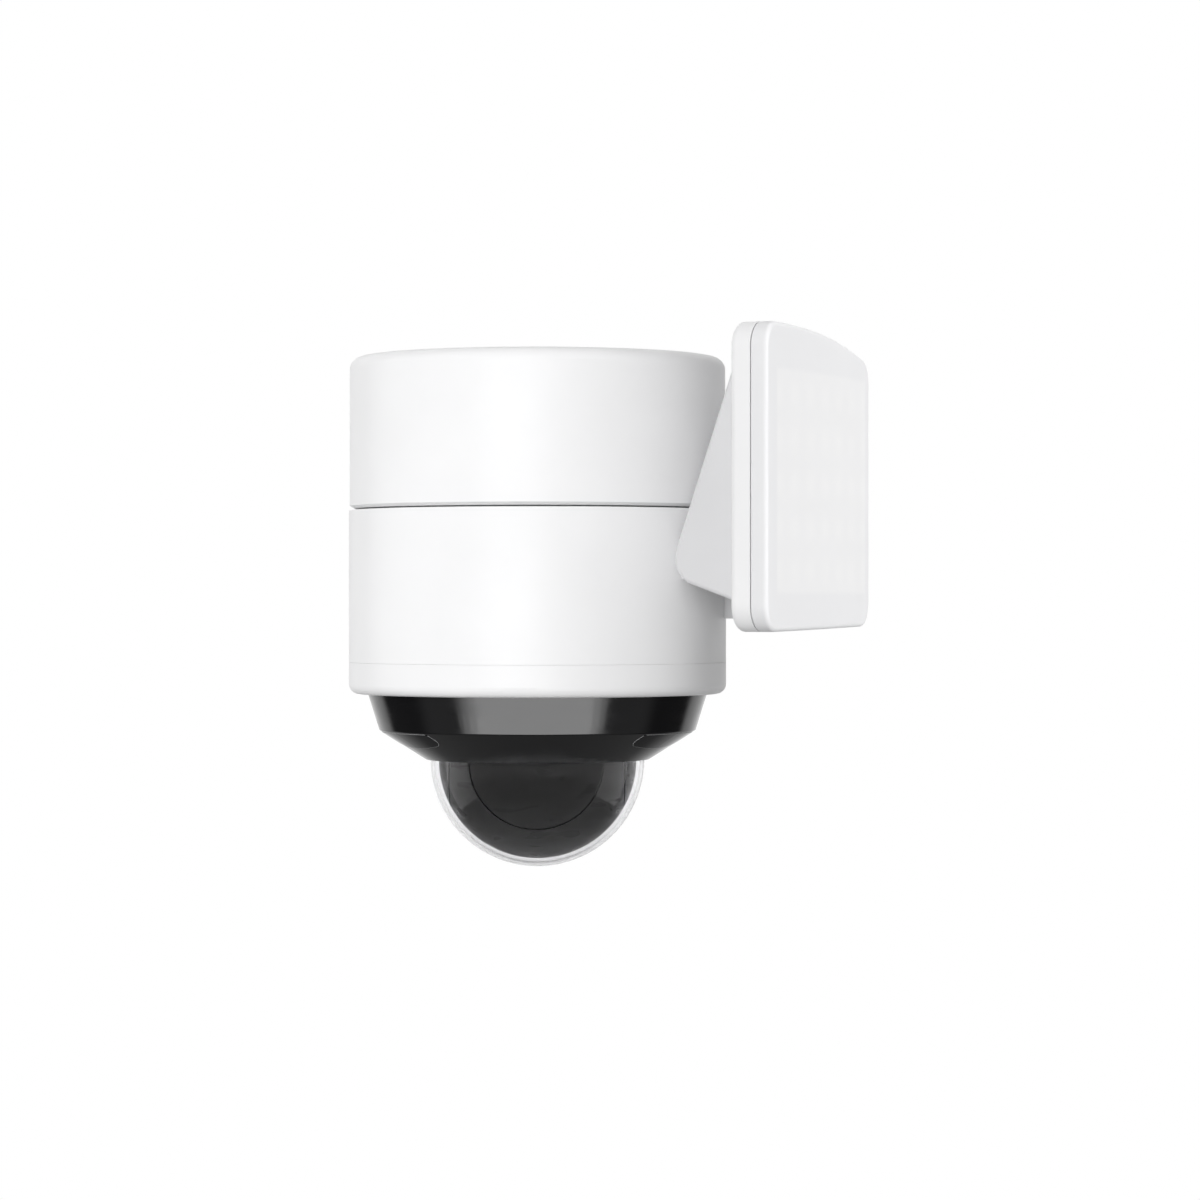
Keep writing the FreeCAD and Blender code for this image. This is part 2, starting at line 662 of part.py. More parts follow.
def sensor_windows():
    """Dark plugs that stand slightly proud of the chamfer."""
    skin = chamfer_skin(WINDOW_PROUD, WINDOW_THICK, WINDOW_RIM + WINDOW_GAP)
    return group([on_drum(one) for one in at_windows(skin.common(window_prism(WINDOW_GAP)))])


def motion_sensors():
    centre, down, normal = cone_frame()
    seat = centre - down * SENSOR_RISE
    can = rod(SENSOR_R, seat - normal * 4, seat - normal * 9)
    return group([on_drum(s) for s in at_windows(can)])


def dome_cover():
    """Clear hemisphere with a short straight skirt and a clamped flange."""
    flange_low = BEZEL_LEDGE_Z + 1.5
    outer = Part.makeSphere(COVER_R, V(0, 0, BALL_Z), AXIS_Z, -90, 0, 360)
    inner = Part.makeSphere(COVER_IN, V(0, 0, BALL_Z), AXIS_Z, -90, 0, 360)
    cover = outer.fuse(disc(COVER_R, BALL_Z, flange_low + 1.5))
    cover = cover.fuse(disc(43.4, flange_low, flange_low + 1.5)).removeSplitter()
    return on_drum(cover.cut(inner.fuse(disc(COVER_IN, BALL_Z, flange_low + 3))).removeSplitter())


def dome_seal():
    return on_drum(tube(COVER_R + 0.1, 43.8, BEZEL_LEDGE_Z, BEZEL_LEDGE_Z + 1.5))


def dome_clamp():
    low = BEZEL_LEDGE_Z + 3.0
    return on_drum(tube(37.2, 47.0, low, low + 2))


# ---- Pan carriage ----
def pan_hub():
    hub = disc(HUB_R, HUB_LOW, HUB_HIGH).fuse(disc(18, TABLE_HIGH, HUB_LOW))
    return on_drum(hub.cut(disc(HUB_BORE, TABLE_LOW, HUB_HIGH + 6)))


def pan_gear():
    """Large gear under the chassis, lightened with six holes."""
    gear = gear_blank(PAN_TEETH, PAN_MODULE, 3.0)
    gear.rotate(ORIGIN, AXIS_Z, 90)
    gear.translate(V(0, 0, HUB_LOW))
    gear = gear.cut(disc(HUB_R, TABLE_LOW, CHASSIS_HIGH))
    for i in range(6):
        hole = Part.makeCylinder(4.2, 8, V(20.3, 0, TABLE_LOW))
        gear = gear.cut(hole.rotate(ORIGIN, AXIS_Z, i * 60))
    return on_drum(gear)


def pan_pinion():
    """Pinion and shaft of the pan motor, turned half a tooth to mesh."""
    low = HUB_LOW - 0.2
    gear = gear_blank(PAN_PINION_TEETH, PAN_MODULE, 3.4)
    gear.rotate(ORIGIN, AXIS_Z, 90 + 180.0 / PAN_PINION_TEETH + 180)
    gear.translate(V(0, 0, low))
    gear = gear.fuse(disc(PAN_SHAFT_R, low, HUB_HIGH + 1.5))
    gear.translate(V(0, PAN_CENTRES, 0))
    return on_drum(gear)


def pan_yoke():
    """Turntable with two arms that end in spherical cheeks beside the ball."""
    plate = tube(HUB_BORE, TABLE_R, TABLE_LOW, TABLE_HIGH)
    arms = block(-40, 40, -YOKE_HALF, YOKE_HALF, BALL_Z, TABLE_HIGH)
    arms = arms.cut(block(-CHEEK_FLAT, CHEEK_FLAT, -20, 20, BALL_Z - 1, TABLE_LOW + 0.1))
    arms = arms.common(disc(BALL_R + 0.6, BALL_Z, TABLE_HIGH))
    ball = Part.makeSphere(BALL_R, V(0, 0, BALL_Z))
    cheeks = ball.cut(block(-CHEEK_FLAT, CHEEK_FLAT, -50, 50, BALL_Z - 50, BALL_Z + 50))
    yoke = plate.fuse(arms).fuse(cheeks)
    return on_drum(yoke.cut(rod(AXLE_R, V(-AXLE_OUT, 0, BALL_Z), V(AXLE_OUT, 0, BALL_Z))))


def tilt_axles():
    return group([in_ball(rod(AXLE_R, V(sign * AXLE_IN, 0, 0), V(sign * AXLE_OUT, 0, 0)))
                  for sign in (-1, 1)])


def tilt_gear():
    """Gear fixed on the right axle; the ball's motor walks round it."""
    gear = gear_blank(TILT_TEETH, TILT_MODULE, 2.4)
    gear.rotate(ORIGIN, AXIS_Z, 90)
    gear = gear.cut(disc(AXLE_R, -1, 4))
    gear.rotate(ORIGIN, AXIS_Y, 90)
    gear.translate(V(AXLE_IN + 0.2, 0, 0))
    return in_ball(gear)


# ---- Camera ball ----
def ball_shell():
    """Whole hollow ball with a flat wall at each axle, about its own centre."""
    flats = block(-BALL_FLAT, BALL_FLAT, -40, 40, -40, 40)
    hollow = block(2 - BALL_FLAT, BALL_FLAT - 2, -40, 40, -40, 40)
    shell = Part.makeSphere(BALL_R).common(flats)
    shell = shell.cut(Part.makeSphere(BALL_R - BALL_WALL).common(hollow))
    return shell.cut(rod(AXLE_R + RUN, V(-40, 0, 0), V(40, 0, 0)))


def ball_front():
    half = ball_shell().common(block(-40, 40, -40, -0.1, -40, 40))
    return in_ball(half.cut(rod(FACE_R + FACE_GAP, V(0, -40, 0), V(0, -10, 0))))


def ball_rear():
    return in_ball(ball_shell().common(block(-40, 40, 0.1, 40, -40, 40)))


def faceplate():
    """Dark round window over the lens, with a hidden flange behind the shell."""
    inner_r = BALL_R - BALL_WALL
    skin = Part.makeSphere(BALL_R).cut(Part.makeSphere(inner_r - 0.5))
    skin = skin.common(rod(FACE_R, V(0, -40, 0), V(0, -10, 0)))
    flange = Part.makeSphere(inner_r - 0.1).cut(Part.makeSphere(inner_r - 1.6))
    flange = flange.common(rod(FACE_R + 2.4, V(0, -40, 0), V(0, -10, 0)))
    return in_ball(skin.fuse(flange))


def lens_barrel():
    """Stepped barrel, bored at the front for the lens."""
    barrel = rod(CAMERA_BARREL_R, V(0, -20, 0), V(0, -6, 0))
    barrel = barrel.fuse(rod(LENS_R + 1.5, V(0, -29, 0), V(0, -20, 0)))
    return in_ball(barrel.cut(rod(LENS_R + SLIP, V(0, -30, 0), V(0, -24, 0))))


def lens_glass():
    """Front element: a round glass with a domed face."""
    glass = rod(LENS_R, V(0, -28.6, 0), V(0, -25, 0))
    dome = Part.makeSphere(LENS_DOME_R, V(0, -16.9, 0))
    return in_ball(glass.common(dome))


def image_board():
    return in_ball(block(-17, 17, -5.9, -4.4, -15, 15))


def ir_leds():
    """Ring board with eight infrared lamps round the lens."""
    ring = tube(9.6, 19.5, 0, 1.2)
    step = 360.0 / LAMP_COUNT
    for i in range(LAMP_COUNT):
        lamp = Part.makeCylinder(1.9, 2.4, V(LAMP_RING_AT, 0, 1.2))
        ring = ring.fuse(lamp.rotate(ORIGIN, AXIS_Z, (i + 0.5) * step))
    ring.rotate(ORIGIN, AXIS_X, 90)
    ring.translate(V(0, -22, 0))
    return in_ball(ring)


def tilt_motor():
    can = rod(TILT_MOTOR_R, V(8, TILT_CENTRES, 0), V(22, TILT_CENTRES, 0))
    return in_ball(can.cut(rod(TILT_SHAFT_R + RUN, V(17, TILT_CENTRES, 0), V(23, TILT_CENTRES, 0))))


def tilt_pinion():
    gear = gear_blank(TILT_PINION_TEETH, TILT_MODULE, 2.8)
    gear.rotate(ORIGIN, AXIS_Z, 90 + 180.0 / TILT_PINION_TEETH + 180)
    gear = gear.fuse(disc(TILT_SHAFT_R, -7, 2.8))
    gear.rotate(ORIGIN, AXIS_Y, 90)
    gear.translate(V(AXLE_IN, TILT_CENTRES, 0))
    return in_ball(gear)


# ---- Sync button ----
def sync_button():
    cap = rod(BUTTON_R, V(0, -62.6, BUTTON_Z), V(0, -DRUM_R - 0.9, BUTTON_Z))
    cap = cap.makeFillet(0.6, [e for e in cap.Edges if e.BoundBox.YMax < -DRUM_R])
    flange = rod(BUTTON_R + 1.6, V(0, -61.4, BUTTON_Z), V(0, -62.8, BUTTON_Z))
    return on_drum(around(cap.fuse(flange), BUTTON_AZIMUTH))


def button_switch():
    box = block(-5, 5, -60.4, -54, BUTTON_Z - 5, BUTTON_Z + 5)
    return on_drum(around(box, BUTTON_AZIMUTH))


# ---- Hinge bracket ----
def ear_outline(bottom, low_x):
    """Side outline of an ear: a round eye that runs back into the drum."""
    tall = [(50, PIVOT_Z + EAR_R, 0), (PIVOT_X + EAR_R, PIVOT_Z + EAR_R, EAR_R - 0.01),
            (PIVOT_X + EAR_R, PIVOT_Z - EAR_R, EAR_R - 0.01)]
    if bottom < PIVOT_Z - EAR_R:
        return tall + [(low_x, PIVOT_Z - EAR_R, 0), (low_x, bottom, 2), (50, bottom, 0)]
    return tall + [(50, PIVOT_Z - EAR_R, 0)]


def bracket_holes(radius):
    """Two screw holes and the lead's hole through the bracket's foot, in the light's place."""
    holes = [rod(radius, V(50, y, PIVOT_Z), V(80, y, PIVOT_Z)) for y in (-BRACKET_SCREW_Y, BRACKET_SCREW_Y)]
    holes.append(rod(LIGHT_LEAD_R + 1, V(50, 0, PIVOT_Z), V(80, 0, PIVOT_Z)))
    return [on_light(hole) for hole in holes]


def hinge_bracket():
    """Pad on the drum with two ears; the rear ear is deeper, for the light's supply lead."""
    thick = V(0, EAR_OUT - EAR_IN, 0)
    near = prism(ear_outline(0, 0), lambda x, z: V(x, -EAR_OUT, z), thick)
    far = prism(ear_outline(PIVOT_Z - EAR_DROP, EAR_FOOT_X), lambda x, z: V(x, EAR_IN, z), thick)
    pad = block(50, PAD_FACE, -EAR_OUT, EAR_OUT, PIVOT_Z - EAR_R, PIVOT_Z + EAR_R)
    bracket = near.fuse(far).fuse(pad)
    bracket = bracket.cut(disc(DRUM_R + 0.02, -60, 40))
    bracket = on_light(bracket.cut(cross_bar(PIN_R + RUN, -ARM_HALF, ARM_HALF)))
    for hole in bracket_holes(M4_TAPPED):
        bracket = bracket.cut(hole)
    return bracket


def bracket_screws():
    return group([on_light(aimed(screw(*BRACKET_SCREW), V(61.4, y, PIVOT_Z), AXIS_X))
                  for y in (-BRACKET_SCREW_Y, BRACKET_SCREW_Y)])


def light_lead():
    """Supply lead of the light, up to the point where it enters the arm's pocket."""
    return on_light(rod(LIGHT_LEAD_R, V(54, 0, PIVOT_Z), V(71.5, 0, PIVOT_Z)))


# ---- Light ----
def arm_outline(inset):
    """Side outline of the arm: a round back, a sloping top and a sloping bottom."""
    lean = math.radians(ARM_LEAN)
    fall = math.radians(ARM_FALL)
    radius = NOSE_R - inset
    upper = V(PIVOT_X - radius * math.sin(lean), PIVOT_Z + radius * math.cos(lean), 0)
    lower = V(PIVOT_X + radius * math.sin(fall), PIVOT_Z - radius * math.cos(fall), 0)
    top_z = ARM_TOP - inset
    top_x = upper.x + (top_z - upper.y) / math.tan(lean)
    reach = radius / math.tan((lean - fall) / 2)
    corner = upper - V(math.cos(lean), math.sin(lean), 0) * reach
    end_z = lower.y + (PANEL_FRONT_X - lower.x) * math.tan(fall)
    return [(corner.x, corner.y, radius - 0.01), (top_x, top_z, 5),
            (PANEL_FRONT_X, top_z, 0), (PANEL_FRONT_X, end_z, 0)]


def cross_bar(radius, start, end):
    """Round bar along the tilt axis between two local Y values."""
    return rod(radius, V(PIVOT_X, start, PIVOT_Z), V(PIVOT_X, end, PIVOT_Z))


def light_arm():
    """Hollow arm behind the panel, with a pocket at its back for the drum's hinge ears."""
    body = prism(arm_outline(0), lambda x, z: V(x, -ARM_HALF, z), V(0, 2 * ARM_HALF, 0))
    rim = [e for e in body.Edges if e.BoundBox.YLength < 0.01 and e.BoundBox.XMin < PANEL_FRONT_X - 0.1]
    body = body.makeFillet(ARM_ROUND, rim)
    inside = ARM_HALF - ARM_WALL
    hollow = prism(arm_outline(ARM_WALL), lambda x, z: V(x, -inside, z), V(0, 2 * inside, 0))
    hollow = hollow.cut(cross_bar(POCKET_R + POCKET_WALL, -ARM_HALF, ARM_HALF))
    body = body.cut(hollow)
    body = body.cut(cross_bar(POCKET_R, -POCKET_HALF, POCKET_HALF))
    body = body.cut(cross_bar(PIN_R + RUN, -ARM_HALF + 3, ARM_HALF + 1))
    body = body.cut(cross_bar(PLUG_R + RUN, ARM_HALF - 2.6, ARM_HALF + 1))
    return on_light(body.common(crown_disc(PANEL_BACK)))


def hinge_pin():
    return on_light(cross_bar(PIN_R, 3.2 - ARM_HALF, ARM_HALF - 2.8))


def pin_plug():
    return on_light(cross_bar(PLUG_R, ARM_HALF - 2.5, ARM_HALF))


def friction_washers():
    washers = []
    for side in (-1, 1):
        ring = tube(PIN_R + 0.1, EAR_R - 0.5, 0, 1.0)
        ring.rotate(ORIGIN, AXIS_X, -90 * side)
        ring.translate(V(PIVOT_X, side * (EAR_OUT + 0.1), PIVOT_Z))
        washers.append(on_light(ring))
    return group(washers)


def crown_disc(depth):
    """Tall cylinder whose wall is the panel's crowned surface at a depth behind its front."""
    radius = PANEL_CROWN_R - depth
    return Part.makeCylinder(radius, 300, V(PANEL_FRONT_X - PANEL_CROWN_R, 0, -150))


def panel_outline(inset):
    """Face outline of the panel: a rounded square that narrows a little to the rear end."""
    half = PANEL_HALF - inset
    corner = max(PANEL_CORNER - inset, 2.5)
    crest = PANEL_TOP - inset
    bend = math.atan(TOP_NEAR_SLOPE - TOP_REAR_SLOPE)
    crest_r = 0.78 * half / math.tan(bend / 2)
    floor = PANEL_BOTTOM + inset
    return [(-half, crest + TOP_NEAR_SLOPE * half, corner), (0, crest, crest_r),
            (half, crest + TOP_REAR_SLOPE * half, corner),
            (half, floor + BOTTOM_SLOPE * half, corner), (-half, floor - BOTTOM_SLOPE * half, corner)]


def panel_slab(inset, back, front):
    """Crowned slab with the panel's outline, between two depths behind its front face."""
    bar = prism(panel_outline(inset), lambda y, z: V(80, y, z), V(40, 0, 0))
    return bar.common(crown_disc(front)).cut(crown_disc(back))


def face_edges(shape, x_low, x_high):
    """Edges that lie in one crowned face of a panel piece."""
    return [e for e in shape.Edges
            if x_low < e.BoundBox.XMin and e.BoundBox.XMax < x_high]


def panel_rear():
    """Tray behind the panel, open to the front and joined to the arm."""
    tray = panel_slab(0, PANEL_BACK, PANEL_JOINT + 0.2)
    back = PANEL_FRONT_X - PANEL_BACK
    tray = tray.makeFillet(2.2, face_edges(tray, back - 3, back + 0.5))
    tray = tray.cut(panel_slab(PANEL_WALL, PANEL_BACK - 2.5, PANEL_JOINT - 2))
    for y, z in panel_screw_places():
        post = rod(PANEL_POST_R, V(PANEL_SCREW_X - 2, y, z), V(PANEL_FRONT_X - PANEL_JOINT - 2.2, y, z))
        tray = tray.fuse(post.common(panel_slab(1, PANEL_BACK - 1, 0)))
        tray = tray.cut(rod(M3_CLEAR, V(90, y, z), V(120, y, z)))
        tray = tray.cut(rod(3.2, V(90, y, z), V(PANEL_SCREW_X, y, z)))
    return on_light(tray)


def panel_screw_places():
    return [(y, z) for y in (-PANEL_SCREW_Y, PANEL_SCREW_Y) for z in PANEL_SCREW_ZS]


def panel_seal():
    seal = panel_slab(0.9, PANEL_JOINT + 0.2, PANEL_JOINT - 0.2)
    return on_light(seal.cut(panel_slab(2.6, PANEL_JOINT + 1, PANEL_JOINT - 1)))


def front_cover():
    """Translucent cover over the whole front, with blind posts for the screws."""
    cover = panel_slab(0, PANEL_JOINT - 0.2, 0)
    cover = cover.makeFillet(1.6, face_edges(cover, PANEL_FRONT_X - 2.6, PANEL_FRONT_X + 1))
    cover = cover.cut(panel_slab(PANEL_WALL, PANEL_JOINT + 1, COVER_WALL))
    for y, z in panel_screw_places():
        post = rod(COVER_POST_R, V(PANEL_SCREW_X, y, z), V(PANEL_FRONT_X, y, z))
        cover = cover.fuse(post.common(panel_slab(1, PANEL_JOINT - 0.2, COVER_WALL / 2)))
        cover = cover.cut(rod(M3_TAPPED, V(90, y, z), V(PANEL_SCREW_X + 7.3, y, z)))
    return on_light(cover)


def light_mask():
    """White plate behind the cover; its opening bounds the bright area and clears the posts."""
    front = COVER_WALL + SLIP
    plate = panel_slab(PANEL_WALL + SLIP, front + MASK_THICK, front)
    near_crest = LAMP_CREST + LAMP_CREST_SLOPE * LAMP_NEAR
    rear_crest = LAMP_CREST + LAMP_CREST_SLOPE * LAMP_REAR
    opening = [(LAMP_NEAR, near_crest, 1.5), (LAMP_REAR, rear_crest, 1.5),
               (LAMP_REAR, LAMP_FLOOR, 1.5), (LAMP_NEAR, LAMP_FLOOR, 1.5)]
    opening = prism(opening, lambda y, z: V(90, y, z), V(30, 0, 0))
    for y, z in panel_screw_places():
        opening = opening.cut(rod(COVER_POST_R + MASK_LOBE, V(90, y, z), V(120, y, z)))
        plate = plate.cut(rod(COVER_POST_R + SLIP, V(90, y, z), V(120, y, z)))
    return on_light(plate.cut(opening))


def led_board():
    board = panel_slab(6, PANEL_JOINT + 4.0, PANEL_JOINT + 2.4)
    for y, z in panel_screw_places():
        board = board.cut(rod(PANEL_POST_R + 0.3, V(90, y, z), V(120, y, z)))
    return on_light(board)


def leds():
    """Grid of lamp packages on the board, each square to the crowned surface."""
    chips = []
    radius = PANEL_CROWN_R - PANEL_JOINT - 2.4
    centre = V(PANEL_FRONT_X - PANEL_CROWN_R, 0, 0)
    for column in range(-2, 3):
        for row in range(-2, 3):
            z = LED_MIDDLE_Z + row * LED_PITCH
            chip = block(radius + 0.05, radius + 0.9, -1.8, 1.8, z - 1.8, z + 1.8)
            chip.rotate(ORIGIN, AXIS_Z, math.degrees(column * LED_PITCH / radius))
            chip.translate(centre)
            chips.append(on_light(chip))
    return group(chips)


def panel_screws():
    return group([on_light(aimed(screw(*PANEL_SCREW), V(PANEL_SCREW_X, y, z), AXIS_X))
                  for y, z in panel_screw_places()])


PARTS = (
    canopy, wall_gasket, junction_bar, canopy_screws, mount_neck, neck_clamp_plate, neck_screws,
    supply_leads, upper_shell, upper_plate, psu_board, power_components, swivel_seal,
    lower_shell, swivel_clip, trim_ring, main_board, speaker, chassis_plate, chassis_screws,
    pan_bush, pan_motor, bezel, sensor_windows, motion_sensors, dome_cover, dome_seal, dome_clamp,
    pan_hub, pan_gear, pan_pinion, pan_yoke, tilt_axles, tilt_gear,
    ball_front, ball_rear, faceplate, lens_barrel, lens_glass, image_board, ir_leds, tilt_motor,
    tilt_pinion, sync_button, button_switch, hinge_bracket, bracket_screws, light_lead,
    light_arm, hinge_pin, pin_plug, friction_washers, panel_rear, panel_seal, front_cover,
    light_mask, led_board, leds, panel_screws)


def main():
    os.makedirs("parts", exist_ok=True)
    for make in PARTS:
        shape = make()
        shape.exportStep("parts/" + make.__name__ + ".step")


if __name__ == "__main__":
    main()
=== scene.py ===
import json
import math

import bmesh
import bpy
from mathutils import Matrix, Vector


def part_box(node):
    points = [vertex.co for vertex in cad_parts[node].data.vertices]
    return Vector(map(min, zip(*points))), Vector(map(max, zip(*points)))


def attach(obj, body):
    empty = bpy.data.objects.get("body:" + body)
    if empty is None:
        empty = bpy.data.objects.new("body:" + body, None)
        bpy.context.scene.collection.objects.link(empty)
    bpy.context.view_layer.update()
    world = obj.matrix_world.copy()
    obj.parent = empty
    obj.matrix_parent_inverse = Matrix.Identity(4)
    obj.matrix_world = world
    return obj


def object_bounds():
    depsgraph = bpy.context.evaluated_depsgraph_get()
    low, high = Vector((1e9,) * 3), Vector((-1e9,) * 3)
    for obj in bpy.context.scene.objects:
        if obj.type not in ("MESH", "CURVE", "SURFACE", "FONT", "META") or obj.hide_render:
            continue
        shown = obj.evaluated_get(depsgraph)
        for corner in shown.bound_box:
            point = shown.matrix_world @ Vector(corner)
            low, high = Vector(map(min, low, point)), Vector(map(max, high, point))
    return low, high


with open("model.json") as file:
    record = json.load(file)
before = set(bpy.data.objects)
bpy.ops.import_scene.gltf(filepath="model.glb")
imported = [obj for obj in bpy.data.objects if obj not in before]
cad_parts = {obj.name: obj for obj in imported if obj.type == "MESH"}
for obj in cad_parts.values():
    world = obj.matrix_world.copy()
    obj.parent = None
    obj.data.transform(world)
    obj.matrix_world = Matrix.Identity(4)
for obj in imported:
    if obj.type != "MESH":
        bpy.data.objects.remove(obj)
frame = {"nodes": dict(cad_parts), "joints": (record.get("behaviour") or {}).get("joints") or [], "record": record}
cad_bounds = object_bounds()

MM = 0.001

# Light cover: its bright area, measured from the tilt pin's middle along the pin and upwards.
LAMP_PITCH = 15 * MM
GLOW_ALONG = (-45.5 * MM, 47.5 * MM)
GLOW_UP = (-12 * MM, 64 * MM)
GLOW_EDGE = 1.2 * MM

# Cloth behind the sound slots.
CLOTH_INSET = 3.05 * MM
CLOTH_THICK = 0.4 * MM
CLOTH_HALF_HEIGHT = 16 * MM
CLOTH_HALF_ANGLE = 17
CLOTH_STEPS = 32

# Twist-on caps, whose axes are in a row in front of the wall. The profile gives distance below the
# leads' lower end and radius, in millimetres.
CAP_PROFILE = ((-3.5, 2.0), (-3.2, 2.9), (0.5, 3.3), (7.5, 2.7), (9.2, 2.2), (9.8, 1.2))
CAP_SPACING = 12 * MM
CAP_ROW_Y = -6.2 * MM
CAP_SIDES = 48
CAP_RIBS = 12
CAP_RIB_HEIGHT = 0.035

# Bead round the neck.
NECK_CORNER = 12 * MM
BEAD_R = 0.55 * MM
BEAD_PROUD = 0.15 * MM

# Sensor windows on the bezel's chamfer, and the fine rim in the gap round each; the rim's light grey is a painted
# highlight along each window's edge.
CHAMFER_TOP_R = 56.6 * MM
CHAMFER_LOW_R = 40.0 * MM
CHAMFER_RISE = 10.5 * MM
WINDOW_LENGTH = 37 * MM
WINDOW_WIDTH = 10.2 * MM
WINDOW_CORNER = 3.6 * MM
WINDOW_DOWN = 5.6 * MM
WINDOW_RIM = 0.8 * MM
WINDOW_AZIMUTH = 62
RIM_INSET = 0.07 * MM
RIM_R = 0.15 * MM
ARC_STEPS = 24
SETTLE_STEPS = 6

# Camera: to the right of the drum's axis, in front of it, and its height in the frame.
CAMERA_RIGHT = 22.35 * MM
CAMERA_BACK = 1.350
CAMERA_HEIGHT = -31.25 * MM

# Floor below the device, and the sweep and backdrop behind it.
FLOOR_DROP = 2.0
FLOOR_HALF_WIDTH = 6.0
SWEEP_START = 2.2
SWEEP_R = 0.8
SWEEP_STEPS = 12
BACKDROP_TOP = 5.0

# Stacked cards that the bezel mirrors, nearest first: width and radiance. Each shows past the one in
# front of it, so their reflection fades out towards both sides.
CARDS = ((1.22, 1.4), (1.46, 1.3), (1.70, 1.2), (1.90, 0.75), (2.10, 0.4))
CARD_HEIGHT = 0.42
CARD_DISTANCE = 0.88
CARD_GAP = 0.005

SMOOTH_BELOW = 35


# ---- Node helpers ----
def new_material(name):
    """An empty node material and its tree."""
    material = bpy.data.materials.new(name)
    material.use_nodes = True
    material.node_tree.nodes.clear()
    return material, material.node_tree


def add(tree, kind, inputs=None, **settings):
    """A node with its settings and its inputs, which are values or other nodes' outputs."""
    node = tree.nodes.new("ShaderNode" + kind)
    for key, value in settings.items():
        setattr(node, key, value)
    for key, value in (inputs or {}).items():
        if isinstance(value, bpy.types.NodeSocket):
            tree.links.new(value, node.inputs[key])
        else:
            node.inputs[key].default_value = value
    return node


def maths(tree, operation, *values):
    """Result of a Math node."""
    return add(tree, "Math", dict(enumerate(values)), operation=operation).outputs[0]


def noise(tree, scale, detail=3.0, stretch=(1, 1, 1)):
    """Noise in the row frame, scale in cells per metre."""
    place = add(tree, "TexCoord").outputs["Object"]
    mapped = add(tree, "Mapping", {"Vector": place, "Scale": stretch}).outputs[0]
    return add(tree, "TexNoise", {"Vector": mapped, "Scale": scale, "Detail": detail}).outputs["Fac"]


def spread(tree, value, low, high, start=0.3, end=0.7):
    """Maps a value between start and end onto low to high, held at both ends."""
    return add(tree, "MapRange", {"Value": value, "From Min": start, "From Max": end,
                                  "To Min": low, "To Max": high}).outputs[0]


def tint(tree, factor, first, second):
    """Mix of two colours."""
    mix = add(tree, "Mix", {0: factor, 6: (*first, 1), 7: (*second, 1)}, data_type="RGBA")
    return mix.outputs[2]


def shaded(colour, gain):
    """A colour made lighter or darker."""
    return tuple(min(1.0, c * gain) for c in colour)


def surface(tree, shader):
    """Makes a shader the material's surface."""
    add(tree, "OutputMaterial", {"Surface": shader})


def edge_mask(tree, radius):
    """1 on convex edges and 0 on open faces."""
    soft = add(tree, "Bevel", {"Radius": radius}, samples=4).outputs[0]
    true = add(tree, "NewGeometry").outputs["Normal"]
    dot = add(tree, "VectorMath", {0: soft, 1: true}, operation="DOT_PRODUCT").outputs["Value"]
    return add(tree, "MapRange", {"Value": dot, "From Min": 0.995, "From Max": 0.90}).outputs[0]


# ---- Materials ----
def moulded(name, colour, roughness, grain=0.25, wear=0.0):
    """Moulded plastic: fine grain, slow colour drift, uneven gloss and slightly rubbed edges."""
    material, tree = new_material(name)
    drift = spread(tree, noise(tree, 22, 4), 0, 1)
    base = tint(tree, drift, shaded(colour, 0.98), shaded(colour, 1.02))
    if wear > 0:
        patches = spread(tree, noise(tree, 260, 4), 0, wear)
        scuffs = maths(tree, "MULTIPLY", edge_mask(tree, 0.5 * MM), patches)
        mix = add(tree, "Mix", {0: scuffs, 6: base, 7: (*shaded(colour, 0.86), 1)}, data_type="RGBA")
        base = mix.outputs[2]
    gloss = spread(tree, noise(tree, 70, 5), roughness * 0.88, roughness * 1.14)
    bump = add(tree, "Bump", {"Strength": grain, "Distance": 0.02 * MM,
                              "Height": noise(tree, 9000, 2)}).outputs[0]
    shader = add(tree, "BsdfPrincipled", {"Base Color": base, "Roughness": gloss, "Normal": bump})
    surface(tree, shader.outputs[0])
    return material


def gloss_black(name, colour, roughness, specular=0.5):
    """Polished dark plastic with faint dust and smears in its gloss."""
    material, tree = new_material(name)
    dust = spread(tree, noise(tree, 5200, 2), 0, 1, 0.66, 0.80)
    base = tint(tree, dust, colour, shaded(colour, 1.6))
    smears = spread(tree, noise(tree, 90, 5, (1, 1, 3)), roughness * 0.6, roughness * 1.5)
    bump = add(tree, "Bump", {"Strength": 0.03, "Distance": 0.01 * MM, "Height": noise(tree, 3000, 3)})
    shader = add(tree, "BsdfPrincipled", {"Base Color": base, "Roughness": smears,
                                          "Normal": bump.outputs[0], "Specular IOR Level": specular})
    surface(tree, shader.outputs[0])
    return material


def clear_plastic(name):
    """Clear moulded cover: thin, with faint haze and smears."""
    material, tree = new_material(name)
    haze = spread(tree, noise(tree, 120, 4), 0.004, 0.012)
    bump = add(tree, "Bump", {"Strength": 0.006, "Distance": 0.01 * MM, "Height": noise(tree, 60, 3)})
    glass = add(tree, "BsdfPrincipled", {"Base Color": (0.97, 0.97, 0.98, 1), "Roughness": haze, "IOR": 1.2,
                                         "Transmission Weight": 1.0, "Normal": bump.outputs[0]})
    surface(tree, glass.outputs[0])
    return material


